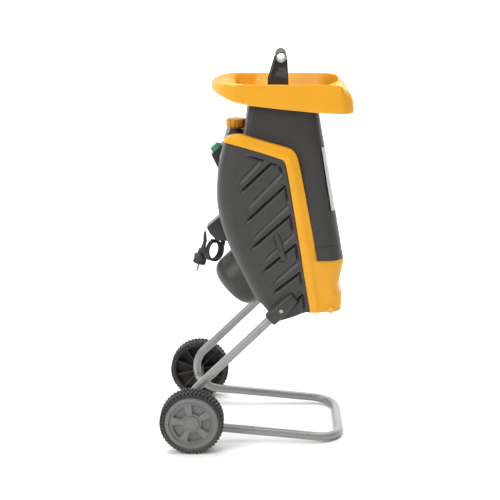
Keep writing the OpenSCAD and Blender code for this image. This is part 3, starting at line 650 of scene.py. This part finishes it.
def tower_ring(z):
    """The tower's outline at a height."""
    rear, front, half, r_rear, r_front = tower_at(z)
    per_corner, between = 12, np.linspace(0, 1, 20)[1:-1]
    corners = []
    for sx, sy, r, start in ((1, 1, r_front, 0), (-1, 1, r_rear, 90), (-1, -1, r_rear, 180), (1, -1, r_front, 270)):
        cx = (front - r) if sx > 0 else (rear + r)
        corners.append([np.array((cx + r * math.cos(a), sy * (half - r) + r * math.sin(a)))
                        for a in map(math.radians, np.linspace(start, start + 90, per_corner))])
    ring = []
    for corner, following in zip(corners, corners[1:] + corners[:1]):
        ring += corner + [corner[-1] + (following[0] - corner[-1]) * t for t in between]
    return np.array(ring)


def label_edge(z):
    """Where the plate ends on the front corner, in X."""
    _, front, _, _, r_front = tower_at(z)
    return front - r_front * (1 - math.cos(math.radians(46)))


def make_tower():
    """The tower's wall, sunk for the plate and the trim, and cut along the split, the stripe and the knob."""
    heights = np.concatenate([np.linspace(862, 760, 20), [757.6, 756.2, 755.4], np.linspace(748, 604, 16),
                              [598.6, 597.8, 596.6], np.linspace(588, 520, 8), [516.4, 515.2, 514.0, 512.8, 511.6],
                              np.linspace(505, 476, 6)])
    rings = []
    for z in heights:
        ring = tower_ring(z)
        centre = np.array([ring[:, 0].mean(), 0])
        out = ring - centre
        out /= np.linalg.norm(out, axis=1, keepdims=True)
        along = (ring[:, 0] - ring[:, 0].min()) / np.ptp(ring[:, 0])
        off_middle = np.abs(ring[:, 1])
        on_side = step(off_middle, 0.55 * off_middle.max(), 0.95 * off_middle.max())
        sunk = 5.0 * on_side * (np.abs(along - 0.5) / 0.5) ** 2
        if 598 < z < 756:
            sunk += 1.3 * step(ring[:, 0], label_edge(z) - 1.0, label_edge(z))
        if 512.5 < z < 515.5:
            sunk += 1.4 * step(ring[:, 0], 150, 165)
        if z < 512.6:
            sunk += 0.5 * step(ring[:, 0], 150, 165)
        ring = ring - out * sunk[:, None]
        rings.append([(x, y, z) for x, y in ring])
    body = shell(rings, WALL, (60, 0, 650), wrap_cols=True)
    tower = piece("tower_finish", [body], "charcoal_plastic", "top", ["tower_shell"], sharp=32)
    sides = STRIPE_TOP + [(160, 470), (250, 470), (250, 300), (60, 300), (-79, 700)]
    behind_split = ([(-140, 790), (-79, 772.2)] + [(x + 0.6, z + 0.3) for x, z in SPLIT[1:4]]
                    + [(112, 440), (-140, 440)])
    past = 200                      # well outside the tower
    cutters = [prism(sides, -past, -115.8), prism(sides, 115.8, past), prism(behind_split, -past, past)]
    turns = [math.radians(5 * k) for k in range(72)]
    niche = [(KNOB_X + NICHE_R * math.cos(a), NICHE_R * math.sin(a)) for a in turns]
    cutters.append(tube_like([[(x, y, z) for x, y in niche] for z in (783, 828)]))
    carve(tower, cutters)
    return tower


def niche_wall():
    """The curved wall inside the tower that gives the knob room."""
    low, high = 781, 827.5
    rings = []
    for r, heights in ((NICHE_R, np.linspace(low, high, 12)), (NICHE_R + WALL, np.linspace(high, low, 12))):
        for z in heights:
            rear = tower_at(z)[0]
            spread = math.acos(min(0.999, (rear + 0.6 - KNOB_X) / NICHE_R))
            rings.append([(KNOB_X + r * math.cos(a), r * math.sin(a), z)
                          for a in np.linspace(-spread, spread, 25)])
    rings = np.array(rings)
    rows, cols = rings.shape[:2]
    ends = [[i * cols for i in range(rows)], [i * cols + cols - 1 for i in range(rows)][::-1]]
    return rings.reshape(-1, 3).tolist(), grid_faces(rows, cols, wrap_rows=True) + ends


def make_shelf():
    """The shelf behind the tower, the collar under the knob and the niche round it."""
    rear = -77.4
    collar = [(4.6, 762), (4.6, 783), (15.6, 783), (16.8, 782), (17, 780), (17, 766), (18.5, 763), (18.5, 762)]
    rows = []
    for x in np.linspace(rear, -26, 22):
        back = x - rear
        wide = 115.4 * min(1.0, 0.80 + 0.2 * math.sqrt(max(0.0, min(1.0, back / 30))))
        z = 777.4 - SHELF_FALL * back - 5.0 * max(0.0, 1 - back / 9) ** 2
        rows.append([(x, wide * t, z) for t in np.linspace(-1, 1, 31)])
    turned = revolve(collar, 64, lambda x, y, z: (KNOB_X + x, y, z))
    return piece("tower_shelf_finish", [shell(rows, 4.4, (0, 0, 600)), turned, niche_wall()],
                 "charcoal_plastic", "top", ["tower_shell"], sharp=40)


def make_label():
    """A blank plate let into the front of the tower."""
    rings = []
    for z in np.concatenate([[755.3, 754.9], np.linspace(753, 601, 24), [599.4, 599.0]]):
        _, front, half, _, r = tower_at(z)
        arc = [(front - r + (r - SUNK) * math.cos(a), half - r + (r - SUNK) * math.sin(a))
               for a in np.linspace(math.radians(45), 0, 14)]
        line = [(x, -y, z) for x, y in arc]
        line += [(front - SUNK, y, z) for y in np.linspace(r - half, half - r, 16)[1:-1]]
        rings.append(line + [(x, y, z) for x, y in arc[::-1]])
    return piece("label_plate_finish", [shell(rings, 1.0, (60, 0, 650))], "label_grey", "top",
                 ["label_plate"], sharp=40)


make_tower()
make_shelf()
make_label()


# ---------------------------------------------------------------- orange trim

def stripe(side):
    """A band along the split line with a ridge down its middle."""
    count = 150
    low = evenly(smooth(SPLIT[:4] + [(113.9, 475.8)], 3), count)
    high = evenly(smooth(STRIPE_TOP[:-1] + [(152.9, 475.8)], 2), count)
    # Share of the way from the low edge to the high one, and distance from the middle of the machine
    section = [(0.012, 117), (0.012, 143.2), (0.03, 144.5), (0.07, 145), (0.45, 145), (0.49, 144.8),
               (0.53, 144.2), (0.93, 139.6), (0.98, 138.6), (0.99, 137), (0.99, 117)]
    rings = []
    for a, b in zip(low, high):
        rings.append([(a[0] + (b[0] - a[0]) * t, side * y, a[1] + (b[1] - a[1]) * t) for t, y in section])
    return tube_like(rings)


def skirt_x(z):
    """The front face's place at a height: a recess over a ledge."""
    return float(np.interp(z, [343, 383, 386.5, 388.5, 407, 464, 470, 479],
                           [215, 216.3, 216.2, 211.5, 207, 218.2, 219.2, 219.5]))


def skirt():
    """The trim round the tower's foot, from the split on one side round the front to the other."""
    side_x, y_front, r_y = 182, 136.0, 34.0
    heights = np.concatenate([[343.0, 343.8, 346], np.linspace(350, 380, 8), [383, 385, 386, 386.8, 387.8, 389.5],
                              np.linspace(393, 462, 16), [465, 468, 471, 474, 475.9]])
    rings = []
    for z in heights:
        x0 = np.interp(z, [343.5, 530], [135.9, 104.5])
        xf = skirt_x(z)
        bottom = 1.2 if z < 343.5 else (0.3 if z < 345 else 0)
        half = [(x0, 112), (x0, 130), (x0, 143.6 - bottom), (x0 + 1.2, 144.7 - bottom), (x0 + 3, HALF_W - bottom)]
        ridge = x0 + 18.5
        half += [(x0 + 3 + (ridge - x0 - 3) * t, HALF_W - bottom) for t in (0.25, 0.5, 0.75, 1)]
        half += [(ridge + (side_x - ridge) * t, HALF_W - bottom - (HALF_W - y_front) * t ** 0.6)
                 for t in (0.12, 0.3, 0.5, 0.7, 0.85, 1)]
        for a in np.linspace(6, 90, 14):
            c, s = math.cos(math.radians(a)), math.sin(math.radians(a))
            half.append((side_x + (xf - side_x - bottom) * s, y_front - bottom - r_y * (1 - c)))
        half += [(xf - bottom, y) for y in np.linspace(96, 0, 12)]
        ring = [(x, -y, z) for x, y in half] + [(x, y, z) for x, y in half[::-1][1:]]
        rings.append(ring)
    return shell(rings, WALL, (120, 0, 410))


def hinge_boss(side):
    """The trim's ring round a hinge pin."""
    return revolve([(3.15, 0), (3.15, 11), (8, 11), (8, 0.5), (7.4, 0)], 40,
                   lambda x, y, z: (HINGE_X + x, side * (130.6 + z), HINGE_Z + y))


piece("front_trim_finish", [stripe(-1), stripe(1), skirt(), hinge_boss(-1), hinge_boss(1)],
      "orange_plastic", "top", ["front_trim"], sharp=30)


# ---------------------------------------------------------------- hopper

HOPPER_HALF, HOPPER_FRONT, HOPPER_CORNER = 140, 238.2, 36


def hopper_outline():
    """The rim's plan: a rounded nose at the back and soft corners at the front."""
    nose = [(-48 + 64.5 * math.cos(a), HOPPER_HALF * math.sin(a)) for a in map(math.radians, range(270, 89, -5))]
    side_line = [(x, HOPPER_HALF) for x in range(-36, 200, 12)]
    cx, cy = HOPPER_FRONT - HOPPER_CORNER, HOPPER_HALF - HOPPER_CORNER
    corner = [(cx + HOPPER_CORNER * math.sin(a), cy + HOPPER_CORNER * math.cos(a))
              for a in map(math.radians, range(0, 91, 6))]
    front = [(HOPPER_FRONT, y) for y in range(96, -97, -12)]
    half = side_line + corner
    back = [(x, -y) for x, y in half[::-1]]
    return evenly(np.array(nose + half + front + back), 260, closed=True)


def rim_height(x):
    return np.interp(x, [-112.5, -108, -100, -88, -70, 170, 188, 200, 210, 220, 230, 238.2],
                     [900, 904.5, 907.6, 909.4, 910, 910, 909.3, 907.4, 904, 899.5, 895.5, 893])


def bottom_height(x):
    return np.interp(x, [-112.5, -106, -98, -85, -61, -19, 60, 155, 206, 240],
                     [891.5, 887.5, 883.8, 878.8, 869.5, 859.5, 850.2, 841, 838.6, 838.5])


def roll_in(z):
    """How far the front has rolled inward at a height."""
    return np.interp(z, [838, 850, 862, 872, 880, 888, 895, 901, 905, 908, 910],
                     [0, 0, 0.8, 3, 6, 10.4, 16, 23, 30, 38, 47])


def make_hopper():
    """The feed tray, as one skin: up the outside, over the rim, down to the mouth and back underneath."""
    outline = hopper_outline()
    n = len(outline)
    tangent = np.roll(outline, -1, 0) - np.roll(outline, 1, 0)
    tangent /= np.linalg.norm(tangent, axis=1, keepdims=True)
    inward = np.stack([-tangent[:, 1], tangent[:, 0]], 1)
    if (inward * (np.array([60, 0]) - outline)).sum() < 0:
        inward = -inward
    # How much each point belongs to the front, the rear and the sides
    to_front = np.clip(-inward[:, 0], 0, 1) ** 1.5
    to_rear = np.clip(inward[:, 0], 0, 1)
    to_side = np.clip(1 - to_front - to_rear, 0, 1)
    total = to_side + to_front + to_rear
    x = outline[:, 0]
    rim, bottom = rim_height(x), bottom_height(x)
    corner_share = step(-inward[:, 0], 0.05, 0.75)
    flank = 10 + 24 * step(x, -8, 20) * (1 - step(x, 150, 200))
    deep = 867.0
    rings = []

    def roll(z):
        return corner_share * roll_in(z)

    def ring(inset, z):
        at = outline + inward * np.broadcast_to(inset, n)[:, None]
        rings.append(np.column_stack([at, np.broadcast_to(z, n)]))

    def basin_ring(t, edge, less, tops, floor, lowest):
        """A ring of the tray's inside, from t = 0 at the rim to t = 1 at its floor."""
        side_top, front_top, rear_top = tops
        scoop = 1 - math.sqrt(max(0.0, 1 - t * t))
        inset = edge + to_side * (flank - less) * t + roll(rim) + (44 * to_front + 78 * to_rear) * t
        z_side = rim - side_top - (rim - side_top - floor[0]) * t
        z_front = rim - front_top - (rim - front_top - floor[1]) * scoop
        z_rear = rim - rear_top - (rim - rear_top - floor[1]) * (t ** 0.9)
        z = (z_side * to_side + z_front * to_front + z_rear * to_rear) / total
        ring(inset, np.maximum(z, lowest))

    ring(2.2, bottom + 0.2)
    ring(0.6, bottom + 0.9)
    for t in (0.05, 0.2, 0.35, 0.5, 0.62, 0.74, 0.84, 0.92):
        z = bottom + (rim - bottom) * t
        ring(roll(z), z)
    ring(roll(rim - 3.2) + 0.1, rim - 3.2)
    ring(roll(rim - 1.4) + 0.7, rim - 1.2)
    ring(roll(rim) + 2.0, rim)
    ring(roll(rim) + 3.4, rim - 0.5)
    ring(roll(rim) + 4.4, rim - 2.0)
    for t in (0.12, 0.25, 0.4, 0.55, 0.7, 0.82, 0.92, 1.0):
        basin_ring(t, 4.6, 4.6, (2, 2, 2), (deep + 1, deep), -math.inf)
    basin = rings[-1][:, :2].copy()
    x0, x1, half = MOUTH
    mouth = []
    for px, py in basin:
        dx, dy = px - (x0 + x1) / 2, py
        k = max(abs(dx) / ((x1 - x0) / 2), abs(dy) / half, 1e-6)
        mouth.append(((x0 + x1) / 2 + dx / k, dy / k))
    mouth = np.array(mouth)
    for t, z in ((0.08, 866.4), (0.3, 866.0), (0.6, 865.6), (0.93, 865.4), (1, 864.2), (1, 862.4),
                 (0.93, 862.2), (0.6, 862.3), (0.3, 862.7), (0.05, 863.4)):
        at = mouth if t == 1 else basin + (mouth - basin) * t
        rings.append(np.column_stack([at, np.full(n, z)]))
    for t in (0.9, 0.7, 0.5, 0.3, 0.12):
        basin_ring(t, 7.6, 6.0, (8, 7, 6), (deep - 4, deep - 4), bottom + 3)
    for t in (0.8, 0.5, 0.2):
        z = bottom + (rim - 9 - bottom) * t
        ring(roll(z) + 4.2, z)
    ring(3.8, bottom + 0.2)
    made = tube_like(np.stack(rings), cap=False)
    return piece("hopper_finish", [made], "orange_plastic", "top", ["hopper"], sharp=38)


make_hopper()


# ---------------------------------------------------------------- handle

def ring_tube(r_out, r_in, lip):
    """A tube along Y at the handle, with softened ends."""
    y0, y1 = -HANDLE_HALF, HANDLE_HALF
    profile = [(r_in, y0 + lip), (r_in + lip, y0), (r_out - lip, y0), (r_out, y0 + lip),
               (r_out, y1 - lip), (r_out - lip, y1), (r_in + lip, y1), (r_in, y1 - lip)]
    return revolve(profile, 64, lambda x, y, z: (HANDLE_X + x, z, HANDLE_Z + y))


piece("handle_bar_finish", [ring_tube(14, 12.3, 0.5)], "handle_alloy", "top", ["handle_bar"], sharp=40)
piece("handle_bore_finish", [ring_tube(12.3, 10.5, 0.4)], "zinc_steel", "top", ["handle_bar"], sharp=40)
for side_name, side in SIDES.items():
    recess = prism([(46.5, 958), (45.5, 948), (60, 932), (73.5, 937), (74.5, 958)],
                   *sorted((side * 59.4, side * 64)))
    carve(rounded(side_name + "_handle_bracket", 1.6, 3), [recess])


# ---------------------------------------------------------------- knob

def make_knob():
    """The locking knob, with flutes round its grip."""
    around, flutes, flute_depth, foot = 192, 12, 1.9, 785.1
    profile = [(15, 0), (17.5, 0.6), (21, 2.6), (23.8, 5.4), (25, 8.5), (25, 18), (24.9, 21), (24.2, 23.2),
               (22.6, 24.6), (20.4, 25), (17, 24.4), (10, 24.1), (1, 24.0)]
    rings = []
    for r, z in profile:
        ring = []
        for k in range(around):
            a = 2 * math.pi * k / around
            flute = max(0.0, math.cos(flutes * a)) ** 6
            grip = flute_depth * flute * (1 - step(z, 23.5, 25.2)) * float(r > 15)
            ring.append((KNOB_X + (r - grip) * math.cos(a), (r - grip) * math.sin(a), foot + z))
        rings.append(ring)
    return piece("locking_knob_finish", [tube_like(rings)], "knob_orange", "knob", ["locking_knob"], sharp=45)


make_knob()


# ---------------------------------------------------------------- wheels

def wheel_place(side):
    """Local Z runs outward along the axle from the tyre's inner face."""
    return lambda x, y, z: (WHEEL_X + x, side * (TYRE_IN_Y + z), WHEEL_R + y)


def make_tyre(side_name, side):
    """A tyre: its carcass, two rows of wavy lugs, and the web and ribs inside."""
    place = wheel_place(side)
    carcass = smooth([(66.8, 3), (69, 1.4), (72, 1.2), (74.2, 3.5), (74.8, 12), (74.4, 24.5), (74.8, 37),
                      (74.2, 45.5), (72, 47.8), (70, 47.6), (66.8, 46), (64, 40), (64, 9)], 2, closed=True)
    parts = [revolve([tuple(p) for p in carcass], 144, place)]
    lugs, ribs = 50, 10
    pitch = 2 * math.pi / lugs
    for row, (w0, w1) in enumerate(((0.5, 25.5), (48.5, 23.5))):
        for k in range(lugs):
            a0 = (k + 0.5 * row) * pitch
            path = []
            for t in np.linspace(0, 1, 9):
                w = w0 + (w1 - w0) * t
                sway = 0.30 * math.sin(2.6 * math.pi * t) * pitch
                top = WHEEL_R - 3.4 * max(0.0, 1 - t / 0.14) ** 2 - 1.2 * max(0.0, t - 0.8) / 0.2
                half = pitch * (0.28 if t < 0.8 else 0.28 - 0.6 * (t - 0.8))
                path.append([(top - 5.8, a0 + sway - half * 1.12, w), (top - 1.0, a0 + sway - half, w),
                             (top, a0 + sway - half * 0.6, w), (top, a0 + sway + half * 0.6, w),
                             (top - 1.0, a0 + sway + half, w), (top - 5.8, a0 + sway + half * 1.12, w)])
            rings = [[place(r * math.cos(a), r * math.sin(a), w) for r, a, w in ring] for ring in path]
            parts.append(tube_like(rings))
    web = [(13.2, 30), (64.5, 30), (64.5, 27), (13.2, 27)]
    parts.append(revolve(web, 96, place))
    for k in range(ribs):
        a = math.radians(360 / ribs * k + 14)
        c, s = math.cos(a), math.sin(a)
        corners = [(12.5, 6), (64.5, 8), (64.5, 28), (12.5, 28)]
        points = [place(r * c - o * s, r * s + o * c, w) for o in (-1.3, 1.3) for r, w in corners]
        parts.append((points, BOX_FACES))
    return piece(side_name + "_tyre_finish", parts, "tyre_rubber", side_name + "_wheel",
                 [side_name + "_tyre"], sharp=32)


def make_disc(side_name, side):
    """The grey face of a wheel, with five sunk windows, over its hub tube."""
    place = wheel_place(side)
    radii = np.concatenate([np.linspace(15.5, 23, 8), np.linspace(24, 26, 5), np.linspace(27, 46.5, 14),
                            np.linspace(47, 49, 5), np.linspace(51, 66.9, 20)])
    angles = np.linspace(0, 2 * math.pi, 360, endpoint=False)
    windows, first = 5, -7          # the first window's middle, in degrees
    rings = []
    for r in radii:
        ring = []
        for a in angles:
            turn = (math.degrees(a) * windows / 360 - first * windows / 360) % 1.0
            off = min(turn, 1 - turn) * 360 / windows
            spread = 23.5 + 1.5 * (r - 36) / 12
            corner = max(0.0, (abs(r - 36.5) - 8.5) / 3.5)
            open_to = spread - 3 * corner ** 2
            window = float(step(open_to - off, 0, 2.0) * step(r, 24.5, 25.6) * (1 - step(r, 47.2, 48.4)))
            rim = float(step(r, 55.5, 58))
            lip = float(step(r, 63.5, 65.5))
            w = 43.2 - 8.5 * window + 3.0 * rim - 1.2 * lip - 1.6 * float(step(r, 50, 52)) * (1 - rim)
            ring.append(place(r * math.cos(a), r * math.sin(a), w))
        rings.append(ring)
    face = shell(rings, 2.4, place(0, 0, 0), wrap_cols=True)
    hub = revolve([(5.05, -22), (5.05, 36.5), (15.5, 36.5), (15.5, 42), (17, 42), (17, 33), (13, 33),
                   (13, -21), (12.2, -22)], 64, place)
    return piece(side_name + "_wheel_disc_finish", [face, hub], "wheel_grey", side_name + "_wheel",
                 [side_name + "_wheel_disc"], sharp=32)


def make_cap(side_name, side):
    """A hub cap with a ring round its middle."""
    profile = [(0, 43.6), (18.4, 43.6), (19, 44.2), (19, 46), (18.3, 46.9), (16.4, 47.3), (15.2, 46.6),
               (13.6, 46.5), (12.4, 47.2), (8, 47.8), (0, 48)]
    return piece(side_name + "_hub_cap_finish", [revolve(profile, 72, wheel_place(side), closed=False)],
                 "wheel_grey", side_name + "_wheel", [side_name + "_hub_cap"], sharp=40)


for side_name, side in SIDES.items():
    make_tyre(side_name, side)
    make_disc(side_name, side)
    make_cap(side_name, side)


# ---------------------------------------------------------------- small pieces

rounded("switch_box", 1.6, 3)
rounded("cord_inlet_box", 1.8, 3)
rounded("start_button", 1.2, 3)
rounded("stop_button", 1.2, 3)
for node in ("axle_bolts", "axle_nuts", "leg_screws", "housing_screws", "knob_washer"):
    rounded(node, 0.3)


# ---------------------------------------------------------------- floor and light

def sheet(name, corners):
    """A flat stage sheet with a plain material; returns its shader."""
    mesh = bpy.data.meshes.new(name)
    mesh.from_pydata(corners, [], [[0, 1, 2, 3]])
    made = bpy.data.objects.new(name, mesh)
    bpy.context.scene.collection.objects.link(made)
    plain = bpy.data.materials.new(name)
    plain.use_nodes = True
    mesh.materials.append(plain)
    return plain.node_tree.nodes[PRINCIPLED]


FLOOR_Z = -0.0002                   # metres, like all of the stage
floor_shader = sheet("floor", [(-60, -20, FLOOR_Z), (60, -20, FLOOR_Z), (60, 100, FLOOR_Z), (-60, 100, FLOOR_Z)])
floor_shader.inputs["Base Color"].default_value = (0.93, 0.93, 0.93, 1)
floor_shader.inputs["Roughness"].default_value = 0.7
floor_shader.inputs["Specular IOR Level"].default_value = 0.2

backdrop_shader = sheet("backdrop", [(-12, 5, -0.1), (12, 5, -0.1), (12, 5, 9), (-12, 5, 9)])
backdrop_shader.inputs["Emission Color"].default_value = (1, 1, 1, 1)
backdrop_shader.inputs["Emission Strength"].default_value = 1.0


def area_light(name, at, size, power):
    """A rectangular lamp aimed at the middle of the machine."""
    data = bpy.data.lights.new(name, "AREA")
    data.shape = "RECTANGLE"
    data.size, data.size_y = size
    data.energy = power
    lamp = bpy.data.objects.new(name, data)
    bpy.context.scene.collection.objects.link(lamp)
    lamp.location = at
    lamp.rotation_euler = (Vector((0, 0, 0.5)) - Vector(at)).to_track_quat("-Z", "Y").to_euler()


area_light("key_light", (-2.6, -2.8, 3.0), (2.0, 1.4), 105)
area_light("top_light", (0.2, 0.6, 5.0), (6.0, 6.0), 330)
world = bpy.data.worlds.new("studio")
world.use_nodes = True
background = world.node_tree.nodes["Background"]
background.inputs["Color"].default_value = (1, 1, 1, 1)
background.inputs["Strength"].default_value = 0.36
bpy.context.scene.world = world
bpy.context.scene.view_settings.view_transform = "Standard"
